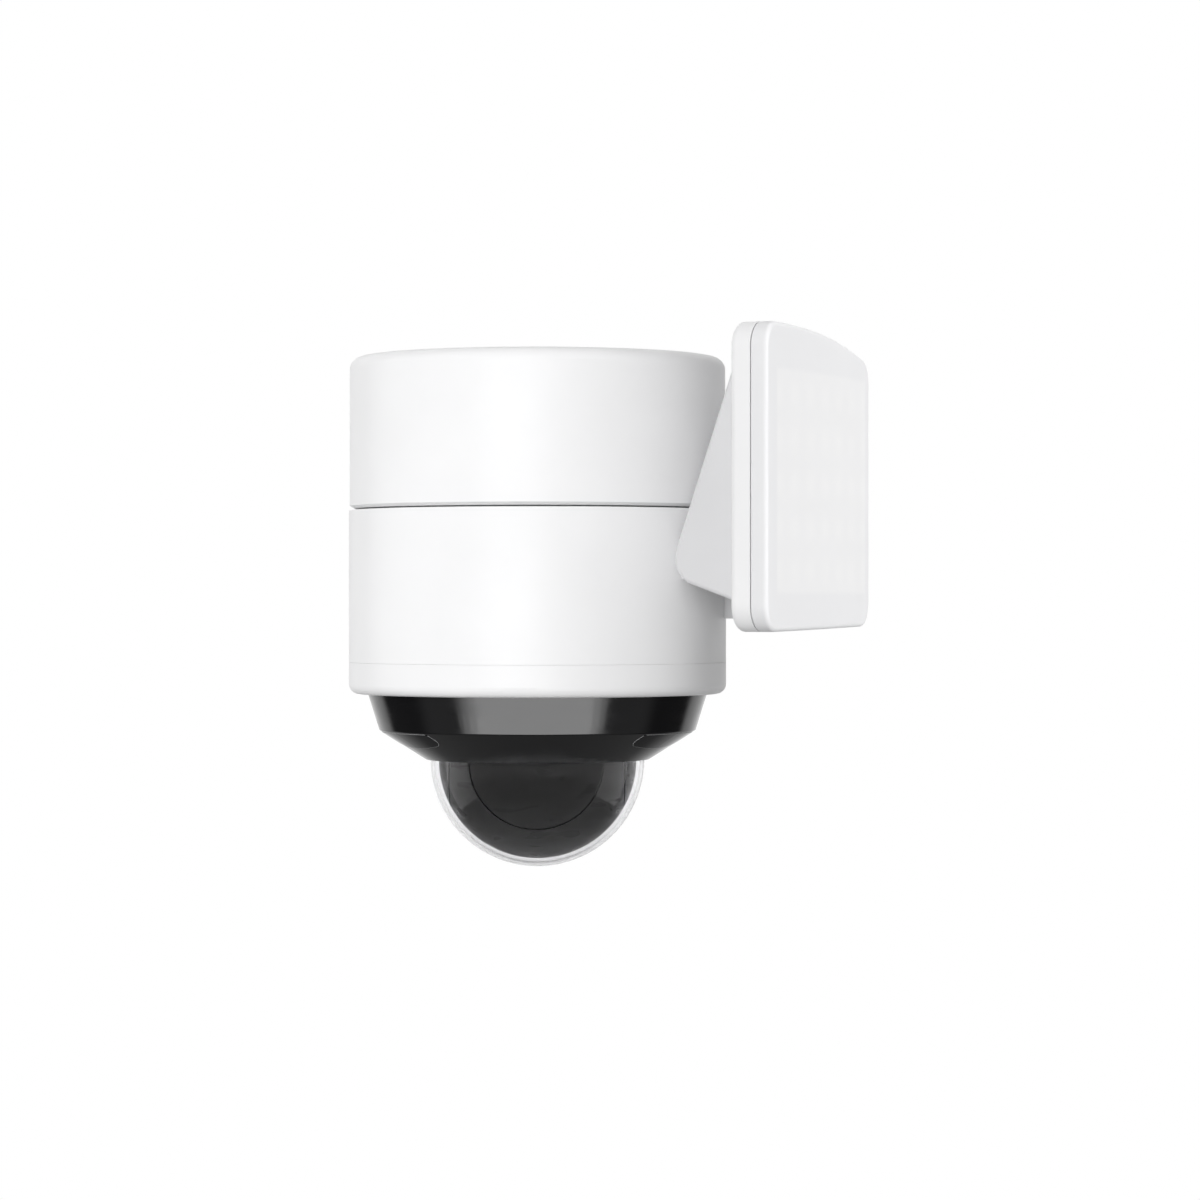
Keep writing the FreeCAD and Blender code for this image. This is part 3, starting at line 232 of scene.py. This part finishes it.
def metal(name, colour, roughness, brushed=(1, 1, 1)):
    """Plated or brushed metal with streaks along one direction."""
    material, tree = new_material(name)
    streaks = noise(tree, 900, 4, brushed)
    base = tint(tree, spread(tree, noise(tree, 160, 4), 0, 1), shaded(colour, 0.88), shaded(colour, 1.08))
    gloss = spread(tree, streaks, roughness * 0.75, roughness * 1.35)
    bump = add(tree, "Bump", {"Strength": 0.15, "Distance": 0.02 * MM, "Height": streaks}).outputs[0]
    shader = add(tree, "BsdfPrincipled", {"Base Color": base, "Metallic": 1.0, "Roughness": gloss,
                                          "Normal": bump})
    surface(tree, shader.outputs[0])
    return material


def between(tree, value, low, high, soft):
    """1 inside a range with soft ends, 0 outside."""
    up = add(tree, "MapRange", {"Value": value, "From Min": low - soft, "From Max": low + soft},
             interpolation_type="SMOOTHSTEP").outputs[0]
    down = add(tree, "MapRange", {"Value": value, "From Min": high + soft, "From Max": high - soft},
               interpolation_type="SMOOTHSTEP").outputs[0]
    return maths(tree, "MULTIPLY", up, down)


def wave(tree, value, middle, pitch):
    """Soft stripes, 1 on their middles."""
    phase = maths(tree, "MULTIPLY", maths(tree, "SUBTRACT", value, middle), 2 * math.pi / pitch)
    return maths(tree, "MULTIPLY_ADD", maths(tree, "COSINE", phase), 0.5, 0.5)


def opal(name):
    """Milky cover: a soft-edged brighter window with a faint lamp grid behind it."""
    material, tree = new_material(name)
    hinge = next(j for j in frame["joints"] if j["name"] == "light_tilt")
    place = add(tree, "TexCoord").outputs["Object"]
    from_hinge = add(tree, "VectorMath", {0: place, 1: hinge["pos_m"]}, operation="SUBTRACT").outputs[0]
    on_axis = add(tree, "VectorMath", {0: from_hinge, 1: hinge["axis"]}, operation="DOT_PRODUCT")
    along = on_axis.outputs["Value"]
    up = add(tree, "SeparateXYZ", {0: from_hinge}).outputs["Z"]
    lamps_low, lamps_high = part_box("leds")
    middle = (lamps_low.z + lamps_high.z) / 2 - hinge["pos_m"][2]
    window = maths(tree, "MULTIPLY", between(tree, along, *GLOW_ALONG, GLOW_EDGE),
                   between(tree, up, *GLOW_UP, GLOW_EDGE))
    lamps = maths(tree, "MULTIPLY", wave(tree, along, 0.0, LAMP_PITCH),
                  wave(tree, up, middle, LAMP_PITCH))
    glow = maths(tree, "MULTIPLY", window, maths(tree, "MULTIPLY_ADD", lamps, 0.35, 0.65))
    base = tint(tree, glow, (0.835, 0.835, 0.845), (0.885, 0.883, 0.885))
    bump = add(tree, "Bump", {"Strength": 0.12, "Distance": 0.02 * MM,
                              "Height": noise(tree, 4200, 2)}).outputs[0]
    gloss = spread(tree, noise(tree, 60, 4), 0.30, 0.42)
    shader = add(tree, "BsdfPrincipled", {"Base Color": base, "Roughness": gloss, "Normal": bump,
                                          "Subsurface Weight": 0.2, "Subsurface Radius": (1, 1, 1),
                                          "Subsurface Scale": 1.0 * MM})
    surface(tree, shader.outputs[0])
    return material


def board(name, colour):
    """Solder-masked circuit board with a faint pattern of tracks and copper vias."""
    material, tree = new_material(name)
    place = add(tree, "TexCoord").outputs["Object"]
    tracks = add(tree, "TexBrick", {"Vector": place, "Scale": 160.0, "Mortar Size": 0.012,
                                    "Color1": (*colour, 1), "Color2": (*shaded(colour, 1.25), 1),
                                    "Mortar": (*shaded(colour, 1.9), 1)})
    vias = add(tree, "TexVoronoi", {"Vector": place, "Scale": 420.0}).outputs["Distance"]
    mask = maths(tree, "LESS_THAN", vias, 0.12)
    mix = add(tree, "Mix", {0: mask, 6: tracks.outputs["Color"], 7: (0.75, 0.62, 0.32, 1)}, data_type="RGBA")
    shader = add(tree, "BsdfPrincipled", {"Base Color": mix.outputs[2], "Roughness": 0.34,
                                          "Metallic": maths(tree, "MULTIPLY", mask, 0.8)})
    surface(tree, shader.outputs[0])
    return material


def cloth(name, colour):
    """Open dark weave."""
    material, tree = new_material(name)
    place = add(tree, "TexCoord").outputs["Object"]
    threads = add(tree, "TexWave", {"Vector": place, "Scale": 900.0, "Distortion": 0.4}, bands_direction="X")
    across = add(tree, "TexWave", {"Vector": place, "Scale": 900.0, "Distortion": 0.4}, bands_direction="Z")
    weave = maths(tree, "MULTIPLY", threads.outputs["Fac"], across.outputs["Fac"])
    base = tint(tree, weave, shaded(colour, 0.3), shaded(colour, 1.6))
    bump = add(tree, "Bump", {"Strength": 0.4, "Distance": 0.1 * MM, "Height": weave}).outputs[0]
    shader = add(tree, "BsdfPrincipled", {"Base Color": base, "Roughness": 0.85, "Normal": bump})
    surface(tree, shader.outputs[0])
    return material


def soft_rubber(name, colour):
    """Matt rubber with a powdery sheen."""
    material, tree = new_material(name)
    base = tint(tree, spread(tree, noise(tree, 400, 5), 0, 1), shaded(colour, 0.8), shaded(colour, 1.3))
    bump = add(tree, "Bump", {"Strength": 0.3, "Distance": 0.03 * MM,
                              "Height": noise(tree, 5000, 3)}).outputs[0]
    gloss = spread(tree, noise(tree, 150), 0.62, 0.8)
    shader = add(tree, "BsdfPrincipled", {"Base Color": base, "Roughness": gloss, "Normal": bump,
                                          "Sheen Weight": 0.15})
    surface(tree, shader.outputs[0])
    return material


SLOTS = {
    "white_shell": moulded("white_shell", (0.90, 0.90, 0.905), 0.34, wear=0.25),
    # arm_shell is the same white plastic made greyer (0.72 against 0.90) as painted shade, so the arm reads darker
    # than the lamp panel beside it
    "arm_shell": moulded("arm_shell", (0.72, 0.72, 0.73), 0.42, 0.4),
    "black_gloss": gloss_black("black_gloss", (0.004, 0.004, 0.0045), 0.12),
    "window_gloss": gloss_black("window_gloss", (0.002, 0.002, 0.003), 0.08, 0.15),
    "ball_gloss": gloss_black("ball_gloss", (0.085, 0.084, 0.084), 0.34, 0.25),
    "clear_dome": clear_plastic("clear_dome"),
    "opal": opal("opal"),
    "rubber_seal": soft_rubber("rubber_seal", (0.42, 0.42, 0.43)),
    "steel": metal("steel", (0.62, 0.62, 0.63), 0.30, (1, 1, 12)),
    "motor_can": metal("motor_can", (0.55, 0.55, 0.57), 0.26, (1, 1, 10)),
    "inner_plastic": moulded("inner_plastic", (0.055, 0.055, 0.06), 0.45, 0.4),
    "gear_plastic": moulded("gear_plastic", (0.80, 0.79, 0.75), 0.40),
    "circuit_board": board("circuit_board", (0.02, 0.12, 0.06)),
    "sensor_can": metal("sensor_can", (0.7, 0.68, 0.62), 0.2),
    "lens_black": moulded("lens_black", (0.02, 0.02, 0.02), 0.5, 0.5),
    "lens_element": gloss_black("lens_element", (0.02, 0.015, 0.05), 0.02),
    "led_package": moulded("led_package", (0.95, 0.78, 0.25), 0.4),
    "lead_sheath": soft_rubber("lead_sheath", (0.03, 0.03, 0.032)),
    "button_grey": soft_rubber("button_grey", (0.35, 0.35, 0.36)),
}


def dress_cad():
    """Gives every CAD node its slot's material."""
    for entry in frame["record"]["subparts"]:
        node = frame["nodes"][entry["node"]]
        node.data.materials.clear()
        node.data.materials.append(SLOTS[entry["material_slot"]])


dress_cad()


# ---- Pieces ----
def piece(name, body, mesh_shape, material):
    """Finishes a bmesh as a smooth-shaded object that rides on a body."""
    bmesh.ops.recalc_face_normals(mesh_shape, faces=mesh_shape.faces)
    mesh = bpy.data.meshes.new(name)
    mesh_shape.to_mesh(mesh)
    mesh_shape.free()
    mesh.polygons.foreach_set("use_smooth", [True] * len(mesh.polygons))
    mesh.set_sharp_from_angle(angle=math.radians(SMOOTH_BELOW))
    mesh.materials.append(material)
    thing = bpy.data.objects.new(name, mesh)
    bpy.context.scene.collection.objects.link(thing)
    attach(thing, body)


def skin_rings(shape, rings, closed):
    """Joins equal rings of vertices; the last ring meets the first one, or both ends are capped."""
    count = len(rings[0])
    last = len(rings) if closed else len(rings) - 1
    for i in range(last):
        here, ahead = rings[i], rings[(i + 1) % len(rings)]
        for j in range(count):
            k = (j + 1) % count
            shape.faces.new((here[j], here[k], ahead[k], ahead[j]))
    if not closed:
        shape.faces.new(rings[0])
        shape.faces.new(rings[-1][::-1])


def speaker_cloth():
    """Thin woven sheet behind the sound slots, curved like the housing's wall."""
    low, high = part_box("speaker")
    shell_low, shell_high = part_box("lower_shell")
    axis = (shell_low + shell_high) / 2
    middle = (low.z + high.z) / 2
    outer = (shell_high.x - shell_low.x) / 2 - CLOTH_INSET
    inner = outer - CLOTH_THICK
    section = ((outer, 1), (outer, -1), (inner, -1), (inner, 1))
    shape = bmesh.new()
    rings = []
    for i in range(CLOTH_STEPS + 1):
        turn = math.radians(CLOTH_HALF_ANGLE * (2 * i / CLOTH_STEPS - 1))
        rings.append([shape.verts.new((axis.x + radius * math.sin(turn), axis.y + radius * math.cos(turn),
                                       middle + side * CLOTH_HALF_HEIGHT)) for radius, side in section])
    skin_rings(shape, rings, False)
    piece("speaker_cloth", "housing", shape, cloth("speaker_cloth", (0.03, 0.03, 0.032)))


def lead_caps():
    """Ribbed twist-on caps on the free ends of the supply leads."""
    lead_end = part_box("supply_leads")[0].z
    material = moulded("lead_caps", (0.85, 0.33, 0.05), 0.45, 0.3)
    for side in (-1, 0, 1):
        shape = bmesh.new()
        rings = []
        for depth, radius in CAP_PROFILE:
            ring = []
            for i in range(CAP_SIDES):
                turn = 2 * math.pi * i / CAP_SIDES
                reach = radius * (1 + CAP_RIB_HEIGHT * math.cos(CAP_RIBS * turn)) * MM
                ring.append(shape.verts.new((side * CAP_SPACING + reach * math.cos(turn),
                                             CAP_ROW_Y + reach * math.sin(turn), lead_end - depth * MM)))
            rings.append(ring)
        skin_rings(shape, rings, False)
        piece("lead_cap_%d" % (side + 2), "mount", shape, material)


def corner_points(half_a, half_b, corner):
    """Points on the four quarter circles of a rounded rectangle, in order round it."""
    points = []
    for quarter, (sa, sb) in enumerate(((1, 1), (-1, 1), (-1, -1), (1, -1))):
        for i in range(9):
            turn = math.radians(90 * quarter + 90 * i / 8)
            points.append((sa * (half_a - corner) + corner * math.cos(turn),
                           sb * (half_b - corner) + corner * math.sin(turn)))
    return points


def tangents(points):
    """Direction of a loop at each of its points."""
    return [(points[(i + 1) % len(points)] - points[i - 1]).normalized() for i in range(len(points))]


def closed_tube(points, sections, radius, sides):
    """Tube along a loop of points; sections holds the two directions across the loop at each point."""
    shape = bmesh.new()
    turns = [2 * math.pi * j / sides for j in range(sides)]
    rings = []
    for point, (first, second) in zip(points, sections):
        rings.append([shape.verts.new(point + radius * (math.cos(a) * first + math.sin(a) * second))
                      for a in turns])
    skin_rings(shape, rings, True)
    return shape


def neck_bead():
    """Sealing bead round the joint between the neck and the upper housing."""
    low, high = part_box("mount_neck")
    shell_low, shell_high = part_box("upper_shell")
    axis = (shell_low + shell_high) / 2
    drum = (shell_high.x - shell_low.x) / 2
    half_x, half_z = (high.x - low.x) / 2, (high.z - low.z) / 2
    middle = (low.z + high.z) / 2
    points = [Vector((x, axis.y + math.sqrt(drum ** 2 - x ** 2) + BEAD_PROUD, middle + z))
              for x, z in corner_points(half_x, half_z, NECK_CORNER)]
    sections = []
    for along in tangents(points):
        side = along.cross(Vector((0, 1, 0))).normalized()
        sections.append((side, side.cross(along)))
    shape = closed_tube(points, sections, BEAD_R, 12)
    piece("neck_bead", "mount", shape, soft_rubber("neck_bead", (0.55, 0.55, 0.56)))


def rounded_path(half_a, half_b, corner):
    """Closely spaced points round a rounded rectangle."""
    path = corner_points(half_a, half_b, corner)
    dense = []
    for i, (a, b) in enumerate(path):
        ahead = path[(i + 1) % len(path)]
        count = max(1, round(math.hypot(ahead[0] - a, ahead[1] - b) / (1.5 * MM)))
        dense += [(a + (ahead[0] - a) * j / count, b + (ahead[1] - b) * j / count) for j in range(count)]
    return dense


def window_outline(chamfer_low):
    """Points round a sensor window on the bezel's chamfer, built towards +X about the drum's axis."""
    start = Vector((CHAMFER_TOP_R, 0, chamfer_low + CHAMFER_RISE))
    end = Vector((CHAMFER_LOW_R, 0, chamfer_low))
    down = (end - start).normalized()
    normal = Vector((-down.z, 0, down.x))
    slope = (end.x - start.x) / (end.z - start.z)
    limit = start + down * (WINDOW_RIM + RIM_INSET)
    centre = start + down * WINDOW_DOWN
    flat = rounded_path(WINDOW_LENGTH / 2 - RIM_INSET, WINDOW_WIDTH / 2 - RIM_INSET,
                        WINDOW_CORNER - RIM_INSET)
    points = []
    for across, along in flat:
        point = centre + Vector((0, across, 0)) + down * along
        for _ in range(SETTLE_STEPS):
            cone_r = start.x + slope * (point.z - start.z)
            point -= normal * normal.x * (math.hypot(point.x, point.y) - cone_r)
        points.append(point)
    below = [i for i, point in enumerate(points) if point.z < limit.z]
    first = next(i for i in below if i - 1 not in below and (i > 0 or len(points) - 1 not in below))
    kept = [points[(first + i) % len(points)] for i in range(len(below))]
    ends = [math.atan2(point.y, point.x) for point in (kept[-1], kept[0])]
    for i in range(1, ARC_STEPS):
        turn = ends[0] + (ends[1] - ends[0]) * i / ARC_STEPS
        kept.append(Vector((limit.x * math.cos(turn), limit.x * math.sin(turn), limit.z)))
    return kept, normal


def painted_highlight_rims():
    """Fine grey rims that follow the outline of each sensor window; their light grey is a painted highlight on the
    window edges.
    """
    low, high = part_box("bezel")
    axis = (low + high) / 2
    outline, normal = window_outline(low.z)
    # The rims' light grey (0.22 against the near-black bezel) is a painted highlight on the window edges.
    material = moulded("window_rim", (0.22, 0.22, 0.225), 0.3, 0.1)
    for number, side in ((1, -1), (2, 1)):
        spin = Matrix.Rotation(math.radians(side * WINDOW_AZIMUTH - 90), 3, "Z")
        points = [spin @ point + Vector((axis.x, axis.y, 0)) for point in outline]
        sections = []
        for point, along in zip(points, tangents(points)):
            radial = Vector((point.x - axis.x, point.y - axis.y, 0)).normalized()
            out = radial * normal.x + Vector((0, 0, normal.z))
            sections.append((along.cross(out).normalized(), out))
        piece("window_rim_%d" % number, "housing", closed_tube(points, sections, RIM_R, 10), material)


speaker_cloth()
lead_caps()
painted_highlight_rims()
neck_bead()


# ---- Stage ----
def place_camera():
    """Long lens in front of the device, level with the lower housing and a little to its right."""
    drum_low, drum_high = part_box("upper_shell")
    axis = (drum_low + drum_high) / 2
    data = bpy.data.cameras.new("camera")
    camera = bpy.data.objects.new("camera", data)
    bpy.context.scene.collection.objects.link(camera)
    camera.location = (axis.x + CAMERA_RIGHT, axis.y - CAMERA_BACK, CAMERA_HEIGHT)
    camera.rotation_euler = (math.pi / 2, 0, 0)
    data.sensor_width = 36
    data.lens = 113
    data.shift_y = -0.0025
    data.clip_start = 0.01
    bpy.context.scene.camera = camera


def sweep_floor():
    """Plain pale floor that curves up into a backdrop behind the device."""
    level = cad_bounds[0][2] - FLOOR_DROP
    profile = [(-FLOOR_HALF_WIDTH, level)]
    for i in range(SWEEP_STEPS + 1):
        turn = math.radians(90 * i / SWEEP_STEPS)
        profile.append((SWEEP_START + SWEEP_R * math.sin(turn), level + SWEEP_R * (1 - math.cos(turn))))
    profile.append((SWEEP_START + SWEEP_R, BACKDROP_TOP))
    mesh = bpy.data.meshes.new("floor")
    shape = bmesh.new()
    edges_x = (-FLOOR_HALF_WIDTH, FLOOR_HALF_WIDTH)
    rows = [[shape.verts.new((x, y, z)) for y, z in profile] for x in edges_x]
    for i in range(len(profile) - 1):
        shape.faces.new((rows[0][i], rows[1][i], rows[1][i + 1], rows[0][i + 1]))
    shape.to_mesh(mesh)
    shape.free()
    mesh.polygons.foreach_set("use_smooth", [True] * len(mesh.polygons))
    floor = bpy.data.objects.new("floor", mesh)
    bpy.context.scene.collection.objects.link(floor)
    material, tree = new_material("floor")
    base = tint(tree, spread(tree, noise(tree, 3, 2), 0, 1), (0.93, 0.93, 0.93), (0.95, 0.95, 0.95))
    shader = add(tree, "BsdfPrincipled", {"Base Color": base, "Roughness": 0.7})
    glow = add(tree, "Emission", {"Color": (1, 1, 1, 1), "Strength": 1.0})
    rays = add(tree, "LightPath").outputs
    bounces = maths(tree, "ADD", rays["Diffuse Depth"], rays["Glossy Depth"])
    seen = maths(tree, "LESS_THAN", bounces, 0.5)
    surface(tree, add(tree, "MixShader", {0: seen, 1: shader.outputs[0], 2: glow.outputs[0]}).outputs[0])
    mesh.materials.append(material)
    floor.visible_glossy = False
    floor.visible_diffuse = False


def body_nodes(body):
    """Names of the CAD nodes on a body."""
    return frame["record"]["behaviour"]["bodies"][body]


def receivers(name, nodes):
    """Collection that limits a light to some CAD nodes."""
    group = bpy.data.collections.new(name)
    for node in nodes:
        group.objects.link(frame["nodes"][node])
    return group


def spared(name, nodes):
    """Collection that takes a light off some CAD nodes."""
    group = receivers(name, nodes)
    for entry in group.collection_objects:
        entry.light_linking.link_state = "EXCLUDE"
    return group


def softbox(name, azimuth, elevation, distance, size, radiance, only=(), without=(), reflected=False):
    """Soft box aimed at the device; azimuth 0 is in front of it and 90 on its right-hand side."""
    target = (cad_bounds[0] + cad_bounds[1]) / 2
    a, e = math.radians(azimuth), math.radians(elevation)
    back = Vector((math.sin(a) * math.cos(e), -math.cos(a) * math.cos(e), math.sin(e)))
    data = bpy.data.lights.new(name, "AREA")
    data.shape = "RECTANGLE"
    data.size, data.size_y = size
    data.energy = radiance * math.pi * size[0] * size[1]
    light = bpy.data.objects.new(name, data)
    turn = back.to_track_quat("Z", "Y").to_matrix().to_4x4()
    light.matrix_world = Matrix.Translation(target + back * distance) @ turn
    light.visible_camera = False
    light.visible_transmission = False
    light.visible_glossy = reflected
    light.visible_diffuse = not reflected
    if only:
        light.light_linking.receiver_collection = receivers(name, only)
    if without:
        light.light_linking.receiver_collection = spared(name, without)
    bpy.context.scene.collection.objects.link(light)


def studio_world():
    """White studio to the eye, soft light on surfaces, dark flags beside a bright back in reflections."""
    world = bpy.data.worlds.new("studio")
    world.use_nodes = True
    tree = world.node_tree
    tree.nodes.clear()
    direction = add(tree, "TexCoord").outputs["Generated"]
    axes = add(tree, "SeparateXYZ", {0: direction}).outputs
    ahead = maths(tree, "MULTIPLY", axes["Y"], -1.0)
    azimuth = maths(tree, "ARCTAN2", maths(tree, "ABSOLUTE", axes["X"]), ahead)
    degrees = maths(tree, "MULTIPLY", azimuth, 180 / math.pi)
    height = maths(tree, "MULTIPLY", maths(tree, "ARCSINE", axes["Z"]), 180 / math.pi)

    behind = maths(tree, "MULTIPLY", between(tree, degrees, 134, 270, 5),
                   spread(tree, height, 0.12, 0.9, -34, -8))
    flank = maths(tree, "MULTIPLY", between(tree, degrees, 50, 92, 8), between(tree, height, -80, 10, 6))
    above = spread(tree, height, 0.0, 0.25, 5, 70)
    mirror = maths(tree, "ADD", 0.05, behind)
    mirror = maths(tree, "ADD", mirror, maths(tree, "MULTIPLY", flank, 0.22))
    mirror = maths(tree, "ADD", mirror, above)
    even = spread(tree, height, 0.34, 0.16, -50, 60)
    inside = spread(tree, height, 3.3, 0.12, -60, 0)

    rays = add(tree, "LightPath").outputs
    bounced = maths(tree, "GREATER_THAN", rays["Diffuse Depth"], 0.5)
    mirrored = maths(tree, "MULTIPLY", maths(tree, "GREATER_THAN", rays["Glossy Depth"], 0.5),
                     maths(tree, "SUBTRACT", 1.0, bounced))
    under_dome = maths(tree, "GREATER_THAN", rays["Transmission Depth"], 0.5)
    even = add(tree, "Mix", {0: under_dome, 2: even, 3: inside}).outputs[0]
    mirror = add(tree, "Mix", {0: under_dome, 2: mirror, 3: 0.8}).outputs[0]
    lit = add(tree, "Mix", {0: bounced, 2: 1.0, 3: even}).outputs[0]
    lit = add(tree, "Mix", {0: mirrored, 2: lit, 3: mirror}).outputs[0]
    background = add(tree, "Background", {"Color": (1, 1, 1, 1), "Strength": lit})
    add(tree, "OutputWorld", {"Surface": background.outputs[0]})
    bpy.context.scene.world = world


place_camera()
sweep_floor()
studio_world()
lamp_nodes = body_nodes("light")
wall_nodes = ("canopy", "mount_neck", "canopy_screws", "wall_gasket")

# Each soft box: azimuth and elevation in degrees, distance, width and height in metres, radiance.
softbox("key", -14, 4, 1.9, (1.3, 1.3), 5.55, without=lamp_nodes)
softbox("left_fill", -108, 2, 1.9, (0.7, 1.4), 3.7)
softbox("top", -20, 74, 1.9, (1.2, 1.2), 1.5)
softbox("back", 180, 12, 2.0, (1.4, 1.4), 2.0)
softbox("wall_fill", 78, 12, 2.2, (1.4, 1.4), 3.0, only=wall_nodes)
softbox("panel_key", -18, 4, 1.9, (1.3, 1.3), 4.6, only=lamp_nodes)
softbox("panel_fill", 72, 6, 1.8, (1.2, 1.4), 4.5, only=lamp_nodes)
for step, (width, radiance) in enumerate(CARDS):
    softbox("bezel_card_%d" % step, -3, -36, CARD_DISTANCE + CARD_GAP * step, (width, CARD_HEIGHT), radiance,
            only=("bezel", "sensor_windows"), reflected=True)
softbox("streak_left", -97, -14, 1.2, (0.75, 0.9), 2.2, only=("dome_cover",), reflected=True)
softbox("streak_right", 93, -14, 1.2, (0.85, 0.9), 2.6, only=("dome_cover",), reflected=True)
bpy.context.scene.view_settings.view_transform = "Standard"
